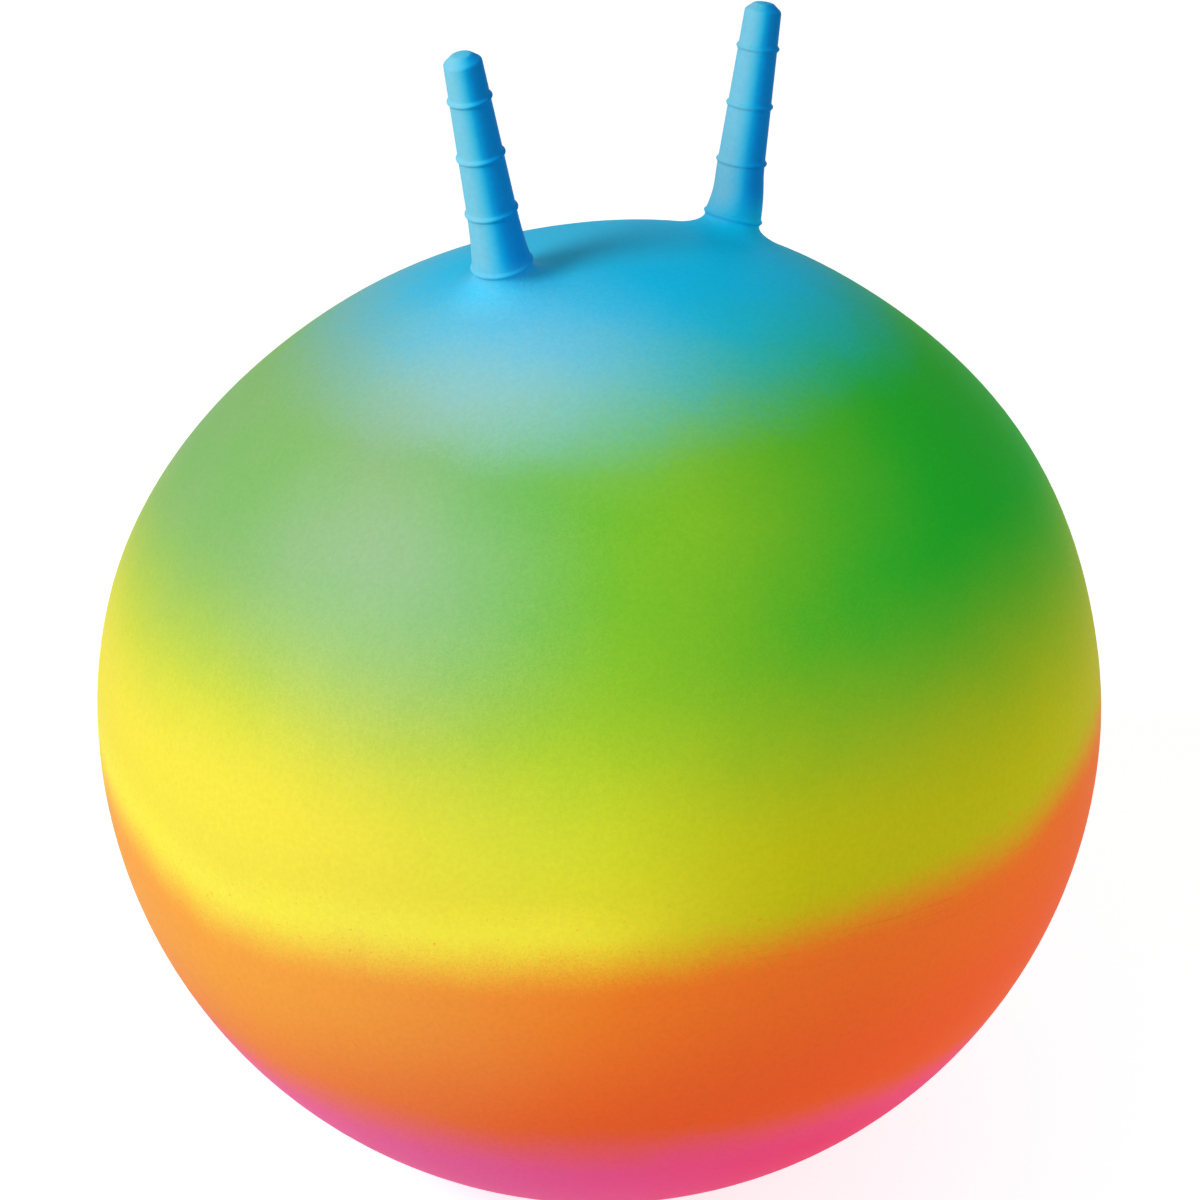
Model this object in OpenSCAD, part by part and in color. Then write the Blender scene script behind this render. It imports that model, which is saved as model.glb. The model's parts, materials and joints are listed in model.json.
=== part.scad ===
// Hopper ball: an inflated soft shell with two ribbed horn handles and an air plug.
// Millimetres. Z is up, the origin is the middle of the patch that rests on the floor,
// the handles stand along X and the air plug faces +Y.

/* [Ball] */
// Radius at the widest ring
ball_r = 250; // [180:1:320]
// How much lower the crown is than a full round would be
crown_drop = 14; // [4:1:20]
// How much tighter the side rounds than the widest ring's own radius
side_tuck = 25; // [22:1:60]
// Wall of the blown skin
skin_wall = 1.2; // [0.8:0.1:3]
// Radius of the patch that presses flat on the floor
floor_patch_r = 34; // [15:1:60]

/* [Necks] */
// Distance between the middles of the two root beads
handle_spacing = 141; // [100:1:200]
// Outer radius where a handle meets its neck
root_r = 13.6; // [12.6:0.1:18]
// Radius of the hollow sweep from the crown up to the handle
neck_fillet_r = 16; // [8:0.5:30]
// Width of crown skin that belongs to the neck, outside the sweep
neck_skirt = 8; // [4:0.5:16]
// Gap round the neck's edge, which bends with the handle
flex_gap = 0.3; // [0.2:0.05:0.6]

/* [Handles] */
// Lean of each handle, outwards from upright
handle_lean = 10.3; // [0:0.1:22]
// Outer radius of the grip at its lowest ring
grip_r = 11.4; // [9.6:0.1:12.4]
// Outer radius of the grip at the shoulder of its tip
tip_r = 8.75; // [6:0.05:9.4]
// Wall of the handles and necks
horn_wall = 2.6; // [1.6:0.1:4]
// Height of the lowest ring above the root
first_ring = 24.2; // [14:0.1:40]
// Distance from ring to ring
ring_pitch = 27.3; // [16:0.1:40]
// Number of rings on each grip
ring_count = 3; // [1:1:5]
// Length from the last ring to the shoulder of the tip
tip_length = 17; // [8:0.5:40]
// Height of the bevel round the tip
tip_bevel_h = 3.4; // [1:0.1:6]
// Radius of the tip's top
tip_top_r = 4.6; // [2:0.1:5.8]
// How far the tip's top is domed
tip_dome_h = 0.5; // [0.2:0.1:1.2]
// How far each bead stands out of the grip
bead_h = 1; // [0.5:0.1:1.7]
// Width of each bead
bead_w = 3.6; // [3.5:0.1:7]

/* [Valve] */
// Height of the valve round the side, as an angle above the widest ring
valve_rise = 20; // [8:1:32]
// Outer radius of the seat's boss
boss_r = 11; // [10:0.1:15]
// How deep the boss reaches into the ball
boss_depth = 24; // [21:0.5:40]
// How far the boss stands out of the skin
boss_lip = 0.6; // [0.2:0.1:1.5]
// Radius of the seat's flange inside the skin
flange_r = 18; // [16:0.5:26]
// Thickness of that flange
flange_t = 2.4; // [1.5:0.1:4]
// Radius of the plug's head
head_r = 8; // [6.5:0.1:8.8]
// Thickness of the plug's head
head_t = 1.6; // [1.2:0.1:3]
// Depth of the recess that the head sits in
recess_d = 1.2; // [0.6:0.1:2]
// Radius of the plug's stem under its head
stem_r = 4.8; // [4:0.1:5.6]
// Radius of the stem at its far end
stem_end_r = 3.8; // [3:0.1:3.9]
// Length of the stem
stem_l = 19; // [10:0.5:19.5]
// Gap all round the plug
plug_gap = 0.05; // [0.03:0.01:0.15]

/* [Hidden] */
$fn = 128;

skin_blue = [0.13, 0.55, 0.74];
skin_green = [0.36, 0.66, 0.25];
skin_yellow = [0.84, 0.74, 0.16];
plug_white = [0.93, 0.93, 0.90];

// Oval of the ball: a round below the widest ring, a tighter round above it, then the crown
side_r = ball_r - side_tuck;
crown_h = ball_r - crown_drop;
mid_z = sqrt(pow(ball_r, 2) - pow(floor_patch_r, 2));
crown_r = (pow(side_tuck, 2) + pow(crown_h, 2) - pow(side_r, 2)) / (2 * (crown_h - side_r));
crown_z = mid_z + crown_h - crown_r;
crown_turn = atan2(side_tuck, crown_r - crown_h);

// Neck, measured up its own axis from the crown's centre
sweep_r = root_r + neck_fillet_r;
sweep_h = sqrt(pow(crown_r + neck_fillet_r, 2) - pow(sweep_r, 2));
sweep_turn = asin(sweep_r / (crown_r + neck_fillet_r));
neck_top = sweep_h + bead_w;
neck_edge_r = sweep_r * crown_r / (crown_r + neck_fillet_r) + neck_skirt;
neck_edge_turn = asin(neck_edge_r / crown_r);
neck_edge_in_turn = asin(neck_edge_r / (crown_r - horn_wall));
neck_lean = asin(handle_spacing / 2 / (neck_top - bead_w / 2));

// Handle, measured up its own axis from the middle of the neck's top
last_ring = first_ring + (ring_count - 1) * ring_pitch;
shoulder_h = last_ring + tip_length;
top_h = shoulder_h + tip_bevel_h;
taper = (grip_r - tip_r) / (shoulder_h - first_ring);
flare = root_r - grip_r - taper * first_ring;
root_below = 2 + 2 * root_r * abs(tan(neck_lean - handle_lean));
bead_round = (pow(bead_w / 2, 2) + pow(bead_h, 2)) / (2 * bead_h);
dome_round = (pow(tip_top_r, 2) + pow(tip_dome_h, 2)) / (2 * tip_dome_h);

// Valve, measured out of the skin along its own axis
seat_face = boss_lip - recess_d;
stem_draft = (stem_r - stem_end_r) / stem_l;

// Points of an arc in a profile, turned clockwise from straight up
function arc(at, r, from, to, steps) =
    [for (i = [0 : steps])
        at + r * [sin(from + (to - from) * i / steps), cos(from + (to - from) * i / steps)]];

// Outer radius of the grip at a height, with the flare below the lowest ring
function grip_at(h) =
    grip_r + taper * (first_ring - h) + flare * pow(max(0, 1 - h / first_ring), 2.2);

// Right half of the ball's section, drawn in from the outside by an even wall
module ball_section(inset) {
    turn_h = (side_r - inset) * cos(crown_turn);
    intersection() {
        translate([0, mid_z]) circle(ball_r - inset);
        translate([0, inset]) square([2 * ball_r, mid_z - inset]);
    }
    intersection() {
        translate([side_tuck, mid_z]) circle(side_r - inset);
        translate([0, mid_z]) square([2 * ball_r, turn_h]);
    }
    intersection() {
        translate([0, crown_z]) circle(crown_r - inset);
        translate([0, mid_z + turn_h]) square([2 * ball_r, crown_h]);
    }
}

// Solid of the ball, drawn in by an even wall
module ball_solid(inset) {
    rotate_extrude() ball_section(inset);
}

// Frame of one neck: the crown's centre, with Z out through the handle's root
module at_neck(side) {
    translate([0, 0, crown_z]) rotate([0, side * neck_lean, 0]) children();
}

// Frame of one handle: the middle of the neck's top, with Z along the grip
module at_handle(side) {
    at_neck(side)
        translate([0, 0, neck_top])
            rotate([0, side * (handle_lean - neck_lean), 0]) children();
}

// Frame of the valve: a point on the skin at the back, with Z straight out of it
module at_valve() {
    translate([0, side_tuck + side_r * cos(valve_rise), mid_z + side_r * sin(valve_rise)])
        rotate([valve_rise - 90, 0, 0]) children();
}

// Half-round bead on a profile, with its middle at a height
module bead(r, h) {
    translate([r + bead_h - bead_round, h]) circle(bead_round);
}

// Skin of the ball, open under each handle and at the valve
module ball_skin() {
    color(skin_yellow)
    difference() {
        ball_solid(0);
        ball_solid(skin_wall);
        for (side = [-1, 1])
            at_neck(side) cylinder(r = neck_edge_r + flex_gap, h = 2 * crown_r);
        at_valve() translate([0, 0, -boss_depth]) cylinder(r = boss_r, h = 2 * boss_depth);
    }
}

// Neck drawn up from the crown to the root bead, hollow through
module neck(side) {
    color(skin_blue)
    at_neck(side)
    rotate_extrude() {
        polygon(concat(
            arc([0, 0], crown_r, neck_edge_turn, sweep_turn, 3),
            arc([sweep_r, sweep_h], neck_fillet_r, 180 + sweep_turn, 270, 12),
            [[root_r, neck_top], [root_r - horn_wall, neck_top]],
            arc([sweep_r, sweep_h], neck_fillet_r + horn_wall, 270, 180 + sweep_turn, 12),
            arc([0, 0], crown_r - horn_wall, sweep_turn, neck_edge_in_turn, 3)
        ));
        intersection() {
            bead(root_r, neck_top - bead_w / 2);
            translate([root_r - horn_wall / 2, neck_top - bead_w])
                square([bead_h + horn_wall, bead_w]);
        }
    }
}

// Tapered grip with its beads, open at the root
module handle(side) {
    color(skin_blue)
    difference() {
        at_handle(side) rotate_extrude() {
            difference() {
                union() {
                    polygon(concat(
                        [[0, -root_below], [root_r, -root_below]],
                        [for (i = [0 : 8]) [grip_at(first_ring * i / 8), first_ring * i / 8]],
                        [[tip_r, shoulder_h], [tip_top_r, top_h], [0, top_h]]
                    ));
                    for (i = [0 : ring_count - 1])
                        bead(grip_at(first_ring + i * ring_pitch), first_ring + i * ring_pitch);
                    intersection() {
                        translate([0, top_h + tip_dome_h - dome_round]) circle(dome_round);
                        translate([0, top_h]) square([tip_top_r, tip_dome_h]);
                    }
                }
                polygon(concat(
                    [[0, -root_below - 1], [root_r - horn_wall, -root_below - 1]],
                    [for (i = [0 : 8])
                        [grip_at(first_ring * i / 8) - horn_wall, first_ring * i / 8]],
                    [[tip_r - horn_wall, shoulder_h - horn_wall], [0, shoulder_h - horn_wall]]
                ));
            }
        }
        at_neck(side) translate([0, 0, neck_top - 4 * root_r]) cylinder(r = 3 * root_r, h = 4 * root_r);
    }
}

// Boss that holds the plug, with a flange against the inside of the skin
module valve_seat() {
    color(skin_green)
    difference() {
        union() {
            intersection() {
                at_valve() translate([0, 0, -skin_wall - flange_t - 1])
                    cylinder(r = flange_r, h = skin_wall + flange_t + 1);
                difference() {
                    ball_solid(skin_wall);
                    ball_solid(skin_wall + flange_t);
                }
            }
            at_valve() translate([0, 0, -boss_depth]) cylinder(r = boss_r, h = boss_depth + boss_lip);
        }
        at_valve() {
            translate([0, 0, seat_face]) cylinder(r = head_r + plug_gap, h = recess_d + 1);
            translate([0, 0, -boss_depth - 1])
                cylinder(r1 = stem_r + plug_gap - stem_draft * (seat_face + boss_depth + 1),
                         r2 = stem_r + plug_gap,
                         h = seat_face + boss_depth + 1);
        }
    }
}

// Push-in plug with a flat head and a tapered stem
module valve_plug() {
    color(plug_white)
    at_valve() translate([0, 0, seat_face])
    rotate_extrude()
        polygon([
            [0, -stem_l], [stem_end_r - 1, -stem_l], [stem_end_r, -stem_l + 1],
            [stem_r, 0], [head_r, 0], [head_r, head_t - 0.5], [head_r - 0.5, head_t],
            [2.4, head_t], [1.8, head_t - 0.5], [0, head_t - 0.5]
        ]);
}

ball_skin();
neck(-1);  // left_neck
neck(1);  // right_neck
handle(-1);  // left_handle
handle(1);  // right_handle
valve_seat();
valve_plug();
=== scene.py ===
"""Looks of the hopper ball: sprayed skin, flared necks, ribbed horns, air valve and stage."""

import json
import math

import bmesh
import bpy
from bpy.props import FloatProperty, FloatVectorProperty, IntProperty, PointerProperty
from mathutils import Matrix, Quaternion, Vector
from mathutils.geometry import intersect_line_line


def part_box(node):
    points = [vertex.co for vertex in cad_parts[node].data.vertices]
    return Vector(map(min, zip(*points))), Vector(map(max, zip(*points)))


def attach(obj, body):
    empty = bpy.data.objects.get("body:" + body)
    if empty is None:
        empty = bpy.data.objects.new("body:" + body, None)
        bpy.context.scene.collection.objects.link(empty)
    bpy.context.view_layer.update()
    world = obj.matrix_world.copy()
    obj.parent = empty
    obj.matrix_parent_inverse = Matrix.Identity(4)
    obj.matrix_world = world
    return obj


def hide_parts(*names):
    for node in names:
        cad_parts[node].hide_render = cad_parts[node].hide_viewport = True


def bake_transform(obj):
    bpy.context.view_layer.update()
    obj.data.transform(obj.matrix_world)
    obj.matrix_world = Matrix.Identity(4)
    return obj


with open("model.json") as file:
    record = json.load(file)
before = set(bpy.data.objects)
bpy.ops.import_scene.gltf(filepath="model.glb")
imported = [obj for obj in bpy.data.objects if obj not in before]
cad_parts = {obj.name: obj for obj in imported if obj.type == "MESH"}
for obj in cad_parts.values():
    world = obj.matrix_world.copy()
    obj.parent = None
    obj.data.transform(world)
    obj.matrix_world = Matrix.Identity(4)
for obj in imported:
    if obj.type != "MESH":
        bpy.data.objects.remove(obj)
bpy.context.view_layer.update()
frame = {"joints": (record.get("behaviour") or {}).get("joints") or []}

bl_info = {
    "name": "Hopper Ball",
    "version": (1, 0, 0),
    "blender": (4, 5, 0),
    "location": "View3D > Sidebar > Hopper Ball",
    "description": "Builds the looks of a hopper ball around its packed construction",
    "category": "Object",
}

# Places that the frame gives, the names of the horns' sides and the way up
JOINTS = {joint["name"]: joint for joint in frame["joints"]}
SKIN_LOW, SKIN_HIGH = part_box("ball_skin")
BALL_R = (SKIN_HIGH.x - SKIN_LOW.x) / 2
CROWN_TOP = SKIN_HIGH.z
VALVE_AXIS = Vector(JOINTS["plug_pull"]["axis"]).normalized()
SIDES = ("left", "right")
UP = Vector((0, 0, 1))

# Fineness of the meshes
SKIN_COLUMNS = 192
SKIN_ROWS = 96
HORN_COLUMNS = 96
VALVE_COLUMNS = 64
SWEEP_STEPS = 16
BEAD_STEPS = 12
CORNER_STEPS = 6
GRIP_STEPS = 40
FLOOR_COLUMNS = 64
MERGE_DISTANCE = 1e-6

# Plain skin left round the openings, in metres, and the shortest edge of a rim on a unit ball
NECK_MARGIN = 0.007
VALVE_MARGIN = 0.014
RIM_MARGIN = 0.009
RIM_MERGE = 0.01

# How far to look for the rim of an opening, in radii of its ring
NECK_SEARCH = 1.5
VALVE_SEARCH = 2.0

# Places of the rings round the valve, as shares of the plain skin left there
VALVE_RINGS = (0.75, 0.45, 0.2, 0.06, 0.0)

# Heights on a unit ball between which the settling of the crown sets in
CROWN_BLEND = (0.2, 0.8)

# Most of an edge that the rounding of one corner takes up
CORNER_ROOM = 0.45

# Power of the flare at a grip's root, and the bead widths kept clear of plain rings
ROOT_FLARE = 2.2
BEAD_CLEAR = 0.6

# Radius of the dimple's floor as a share of its rim
DIMPLE_TAPER = 0.75

# Sockets of a Mix node that mixes colours
MIX_COVER, MIX_BELOW, MIX_ABOVE, MIX_RESULT = 0, 6, 7, 2

# Directions from the ball's middle: the spray's axis, and the side that got the most paint, which is
# also the side in shade, away from the key lamp
SPRAY_AXIS = Vector((-0.0733, 0.0583, 0.9956)).normalized()
THICK_AND_SHADED_SIDE = Vector((0.768, -0.64, 0)).normalized()

# Directions from the ball's middle to patches where a coat is thin, and to the painted highlights on the
# green and on the crown, and their raggedness
THIN_SPOT = Vector((-0.44, -0.7, 0.56))
HIGH_SPOT = Vector((-0.2, -0.62, 0.76))
SHEEN_SPOT = Vector((-0.74, -0.31, 0.59))
HIGHLIGHT_SPOT = Vector((-0.5, -0.3, 0.81))
PATCH_RAG = 2.0

# Where a cover starts and stops changing, in metres across the ball towards the thick side, which is
# also the shaded side
GREEN_SIDE = (-0.04, 0.17)
ORANGE_SIDE = (-0.17, 0.11)
LIFT_SIDE = (-0.16, -0.25)
ROSE_SIDE = (-0.05, 0.14)
MIST_SIDE = (-0.13, -0.01)
# The olive is partly painted shade, darker towards the shaded side
OLIVE_SIDE = (-0.02, 0.1)
BRIGHT_SIDE = (0.04, -0.03)
# The pale coat is a painted sheen, strongest away from the shaded side
PAINTED_SHEEN_SIDE = (0.02, -0.1)
SCUFF_SIDE = (-0.03, 0.03)

# The same in metres up the spray's axis
# The first three bound the painted sheen and the painted highlight along the edge of the blue
PAINTED_SHEEN_FOOT = (0.08, 0.155)
PAINTED_SHEEN_TOP = (0.24, 0.2)
HIGHLIGHT_FOOT = (0.165, 0.215)
HORN_FOOT = (0.232, 0.252)
SCUFF_FOOT = (-0.155, -0.13)
SCUFF_TOP = (0.012, -0.01)
UPPER_SCUFFS = (-0.03, -0.015)
LOWER_SCUFFS = (-0.11, -0.125)
DROPS_ABOVE = 0.03
DROPS_BELOW = 0.01

# The same by how squarely a horn's side faces the thick, shaded side, and by the strength of a noise
# Painted shade on the horns' shaded sides
HORN_SHADE_FACING = (-0.2, 0.55)
# Painted highlight on the horns' lit sides
HORN_LIT_FACING = (0.25, -0.6)
DROP_RIM = (0.2, 0.26)
SCUFF_RIM = (0.14, 0.2)

# Noises: scale, detail and, where it isn't 1 or a setting, swing
DRIFT = (6.0, 3.0, 0.02)
CLOUD = (38.0, 4.0, 0.009)
SPECKLE = (1300.0, 1.0, 0.018)
SIDE_DRIFT = (7.0, 2.0, 0.05)
DROPS = (620.0, 1.0)
MOTTLE = (16.0, 5.0, 0.8)
STIPPLE = (420.0, 4.0)
SHEEN = (60.0, 3.0, 0.06)
PLUG_CLOUD = (250.0, 3.0)
PLUG_SHEEN = (400.0, 2.0, 0.1)
FLOOR_CLOUD = (3.0, 2.0, 0.02)
STREAKS = (1.0, 2.0)

# How much the streaks of the scuffs are squeezed along each axis
SCUFF_SQUEEZE = (9.0, 9.0, 420.0)

# Moulded grains: scale, detail, strength and depth in metres
SKIN_GRAIN = (900.0, 3.0, 0.12, 0.0002)
PLUG_GRAIN = (2500.0, 2.0, 0.1, 0.0001)

# Tones of the plug and the floor, the floor's radius and the camera's sensor in millimetres
PLUG_SHADE = 0.88
FLOOR_TONE = 0.82
FLOOR_ROUGHNESS = 0.9
FLOOR_SHINE = 0.1
FLOOR_R = 8.0
SENSOR_WIDTH = 36.0


def srgb(red, green, blue):
    """Linear colour of an sRGB colour given from 0 to 255."""
    def linear(value):
        part = value / 255
        return part / 12.92 if part <= 0.04045 else ((part + 0.055) / 1.055) ** 2.4

    return tuple(linear(value) for value in (red, green, blue))


def smoothstep(low, high, value):
    """Smooth step from 0 at low to 1 at high."""
    part = min(max((value - low) / (high - low), 0.0), 1.0)
    return part * part * (3 - 2 * part)


def length(name, description, default):
    """Property for a length in metres."""
    return FloatProperty(name=name, description=description, default=default,
                         precision=5, unit="LENGTH", subtype="DISTANCE")


def angle(name, description, degrees):
    """Property for an angle, with its default given in degrees."""
    return FloatProperty(name=name, description=description, default=math.radians(degrees),
                         unit="ROTATION", subtype="ANGLE")


def share(name, description, default):
    """Property for a share from 0 to 1."""
    return FloatProperty(name=name, description=description, default=default,
                         min=0, max=1, subtype="FACTOR")


def amount(name, description, default):
    """Property for a plain number, such as a strength."""
    return FloatProperty(name=name, description=description, default=default, min=0)


def watts(name, description, default):
    """Property for the power of a lamp."""
    return FloatProperty(name=name, description=description, default=default, min=0, unit="POWER")


def paint(name, description, default):
    """Property for a colour, with its default given in sRGB from 0 to 255."""
    return FloatVectorProperty(name=name, description=description, default=srgb(*default),
                               size=3, min=0, max=1, subtype="COLOR")


class HopperSkinSettings(bpy.types.PropertyGroup):
    """Sizes of the inflated skin."""

    ball_r: length("Ball radius", "Radius at the widest ring", BALL_R)
    side_tuck: length("Side tuck", "How much tighter the side rounds than the widest ring", 0.025)
    floor_patch: length("Floor patch", "Radius of the patch that presses flat on the floor", 0.034)
    patch_round: length("Patch round", "How softly the patch runs into the round", 0.0008)
    wall: length("Wall", "Thickness of the blown skin", 0.0012)
    crown_shift: length("Crown shift", "How far the soft crown settles towards the front right", 0.0067)
    shoulder_rise: length("Shoulder rise", "How far the crown is drawn up round each neck", 0.0054)
    shoulder_reach: length("Shoulder reach", "Radius over which the crown is drawn up", 0.07)
    sweep_r: length("Sweep radius", "Radius where a neck's hollow sweep leaves the crown", 0.031)
    neck_edge: length("Neck edge", "Radius at which the bending neck begins", 0.036)


class HopperHornSettings(bpy.types.PropertyGroup):
    """Sizes of the two ribbed horns."""

    root_r: length("Root radius", "Outer radius where a horn meets its neck", 0.0136)
    grip_r: length("Grip radius", "Outer radius of the grip at its lowest ring", 0.0114)
    tip_r: length("Tip radius", "Outer radius of the grip at the shoulder of its tip", 0.00875)
    wall: length("Wall", "Thickness of the horns and necks", 0.0026)
    lean: angle("Lean", "Lean of each horn, outwards from upright", 10.3)
    leftward: angle("Leftward set", "How far both soft horns have taken a set to the left", 4.2)
    root_drop: length("Root drop", "How far a horn's root sits below the neck's moving end", 0.0012)
    first_ring: length("First ring", "Height of the lowest ring above the root", 0.0254)
    ring_pitch: length("Ring pitch", "Distance from ring to ring", 0.0276)
    ring_count: IntProperty(name="Rings", description="Number of rings on each grip", default=3)
    tip_length: length("Tip length", "Length from the last ring to the shoulder of the tip", 0.0175)
    bevel_h: length("Tip bevel", "Height of the bevel round the tip", 0.0034)
    top_r: length("Tip top", "Radius of the tip's top", 0.0046)
    dome_h: length("Tip dome", "How far the tip's top is domed", 0.0006)
    edge_cut: length("Tip rounding", "How far the tip's edges are rounded back", 0.001)
    bead_h: length("Bead height", "How far each bead stands out of the grip", 0.001)
    bead_w: length("Bead width", "Width of each bead at its foot", 0.0038)
    bend_h: length("Bend height", "Height over which the grip turns to its own lean", 0.022)


class HopperValveSettings(bpy.types.PropertyGroup):
    """Sizes of the air valve."""

    boss_r: length("Boss radius", "Outer radius of the seat's boss", 0.011)
    boss_depth: length("Boss depth", "How deep the boss reaches into the ball", 0.024)
    boss_lip: length("Boss lip", "How far the boss stands out of the skin", 0.0006)
    flange_r: length("Flange radius", "Radius of the seat's flange inside the skin", 0.018)
    flange_t: length("Flange thickness", "Thickness of that flange", 0.0024)
    head_r: length("Head radius", "Radius of the plug's head", 0.008)
    head_t: length("Head thickness", "Thickness of the plug's head", 0.0016)
    recess_d: length("Recess", "Depth of the recess that the head sits in", 0.0012)
    stem_r: length("Stem radius", "Radius of the plug's stem under its head", 0.0048)
    stem_end_r: length("Stem end radius", "Radius of the stem at its far end", 0.0038)
    stem_l: length("Stem length", "Length of the stem", 0.019)
    dimple_r: length("Dimple radius", "Radius of the moulding dimple in the head", 0.0024)
    gap: length("Gap", "Gap all round the plug", 0.00005)
    round_r: length("Edge rounding", "How far the moulded edges are rounded back", 0.0004)


class HopperPaintSettings(bpy.types.PropertyGroup):
    """Colours of the sprayed coats, of the painted shade and of the painted highlights, and where each
    one begins, measured along the spray's axis.
    """

    yellow: paint("Yellow", "Base coat round the middle", (246, 230, 52))
    bright: paint("Bright yellow", "Clean yellow left just above the orange edge", (255, 244, 62))
    lime: paint("Lime", "Mist that drifted down from the green over the yellow", (150, 225, 30))
    # Olive is partly painted shade on the side away from the key lamp
    olive: paint("Olive", "Thick yellow on the thickly sprayed side", (198, 196, 6))
    green: paint("Green", "Coat above the middle", (34, 184, 44))
    blue: paint("Blue", "Coat of the crown, the necks and the horns", (14, 194, 240))
    orange: paint("Orange", "Coat below the middle", (255, 122, 42))
    vermilion: paint("Vermilion", "Thin coat over the lower part of the orange", (255, 101, 44))
    pink: paint("Pink", "Coat round the foot", (255, 97, 170))
    rose: paint("Rose", "Redder coat round the foot on the thickly sprayed side", (255, 66, 120))
    # Pale is a painted sheen on the lit side, and haze a painted highlight on the green and along the
    # edge of the blue
    pale: paint("Pale", "Thin pale bloom on the thinly sprayed side", (178, 168, 163))
    painted_highlight: paint("Haze", "Pale ground that shows where the blue and green run thin", (222, 240, 234))
    # Deep blue is painted shade on the horns' shaded sides, and light blue a painted highlight on their
    # lit sides
    deep: paint("Deep blue", "Thick coat on the sides of the horns that faced the spray", (6, 132, 222))
    light: paint("Light blue", "Thin coat on the sides of the horns behind", (150, 204, 216))
    scuff: paint("Scuff", "Colour of the faint scuffs", (238, 92, 34))
    plug: paint("Plug", "Colour of the air plug", (240, 240, 234))
    green_edge: length("Green edge", "Middle of the soft edge of the green coat", 0.09)
    green_soft: length("Green softness", "Half width of that edge", 0.055)
    green_tilt: amount("Green tilt", "Slope of that edge, lower on the thickly sprayed side", 0.05)
    blue_edge: length("Blue edge", "Middle of the soft edge of the blue coat", 0.206)
    blue_soft: length("Blue softness", "Half width of that edge", 0.026)
    orange_edge: length("Orange edge", "Middle of the edge of the orange coat", -0.005)
    orange_soft: length("Orange softness", "Half width of that edge", 0.018)
    orange_tilt: amount("Orange tilt", "Slope of that edge, higher on the thickly sprayed side", 0.045)
    orange_lift: length("Orange lift", "How much higher that edge runs far out on the thin side", 0.022)
    vermilion_edge: length("Vermilion edge", "Middle of the soft edge of the vermilion coat", -0.065)
    vermilion_soft: length("Vermilion softness", "Half width of that edge", 0.05)
    vermilion_tilt: amount("Vermilion tilt", "Slope of that edge, higher on the thick side", 0.12)
    pink_edge: length("Pink edge", "Middle of the edge of the pink coat", -0.125)
    pink_soft: length("Pink softness", "Half width of that edge", 0.025)
    pink_tilt: amount("Pink tilt", "Slope of that edge, lower on the thickly sprayed side", 0.06)
    left_green: share("Left green", "Cover of the green coat on the thinly sprayed side", 0.9)
    thin_cover: share("Green thinning", "How much green is missing in the thin patch", 0.19)
    thin_reach: length("Thin reach", "Radius of the thin patch", 0.11)
    high_cover: share("High thinning", "How much green is missing just under the blue", 0.15)
    high_reach: length("High reach", "Radius of that thin patch", 0.1)
    # The next six set the painted sheen and the painted highlights
    pale_cover: share("Pale cover", "Cover of the pale bloom over the green", 0.36)
    pale_low: share("Pale low", "Share of that cover left below the green", 0.2)
    sheen_spot_cover: share("Glow cover", "Cover of the haze in the palest spot of the green", 0.15)
    sheen_spot_reach: length("Glow reach", "Radius of that spot", 0.11)
    painted_highlight_cover: share("Haze cover", "Cover of the haze along the edge of the blue", 0.3)
    painted_highlight_reach: length("Haze reach", "Radius of that haze", 0.125)
    # Covers of the painted shade and the painted highlight on the horns
    horn_shade_cover: share("Deep cover", "Cover of the deep blue where it is thickest", 0.85)
    light_cover: share("Light cover", "Cover of the light blue where it shows most", 0.62)
    mist_edge: length("Mist edge", "Middle of the soft edge of the lime mist", 0.026)
    mist_soft: length("Mist softness", "Half width of that edge", 0.026)
    mist_cover: share("Mist cover", "Cover of the lime mist where it is thickest", 0.3)
    # Cover of the olive, which is partly painted shade
    olive_cover: share("Olive cover", "Cover of the olive where it is thickest", 0.85)
    bright_edge: length("Bright edge", "Middle of the upper edge of the bright yellow", 0.019)
    bright_soft: length("Bright softness", "Half width of that edge", 0.012)
    bright_cover: share("Bright cover", "Cover of the bright yellow where it shows most", 0.75)
    thin_orange: share("Thin orange", "Cover of the orange coats on the thinly sprayed side", 0.72)
    drops_cover: share("Drops cover", "Cover of the stray orange drops above the orange edge", 0.5)
    stipple: share("Stipple", "Depth of the fine stipple of the sprayed paint", 0.08)
    scuff_cover: share("Scuff cover", "Cover of the faint scuffs", 0.3)
    roughness: share("Roughness", "Roughness of the satin skin", 0.55)
    shine: share("Shine", "Strength of the shine on the skin", 0.03)
    plug_roughness: share("Plug roughness", "Roughness of the air plug", 0.42)


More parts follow.
